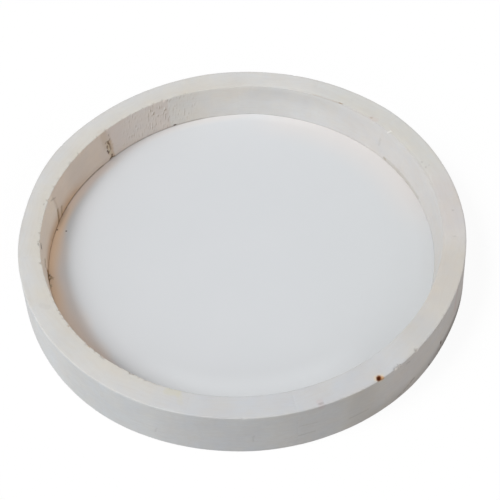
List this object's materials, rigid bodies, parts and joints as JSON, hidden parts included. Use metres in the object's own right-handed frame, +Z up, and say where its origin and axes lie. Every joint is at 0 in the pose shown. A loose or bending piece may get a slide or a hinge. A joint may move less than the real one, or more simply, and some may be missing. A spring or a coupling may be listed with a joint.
{
  "type": "round wooden tray",
  "caption": "Shallow round tray: a ring of whitewashed wood blocks glued end to end round a smooth white painted floor board.",
  "frame": {"origin": "centre of the foot, on the surface the tray stands on", "axes": "+Z up out of the tray's open side; +X and +Y lie in the plane of the floor, with +Y away from the picture's view"},
  "size_m": [0.3, 0.3, 0.036],
  "materials": {
    "whitewashed_wood": "thin matt whitewash over sanded light hardwood, warm wood showing through in places",
    "painted_board": "smooth cool white satin paint on sheet wood"
  },
  "bodies": {
    "root": {"rim_segment_01": "whitewashed_wood", "rim_segment_02": "whitewashed_wood", "rim_segment_03": "whitewashed_wood", "rim_segment_04": "whitewashed_wood", "rim_segment_05": "whitewashed_wood", "rim_segment_06": "whitewashed_wood", "rim_segment_07": "whitewashed_wood", "rim_segment_08": "whitewashed_wood", "rim_segment_09": "whitewashed_wood", "rim_segment_10": "whitewashed_wood", "rim_segment_11": "whitewashed_wood", "rim_segment_12": "whitewashed_wood", "rim_segment_13": "whitewashed_wood", "rim_segment_14": "whitewashed_wood", "rim_segment_15": "whitewashed_wood", "floor_board": "painted_board"}
  },
  "joints": []
}
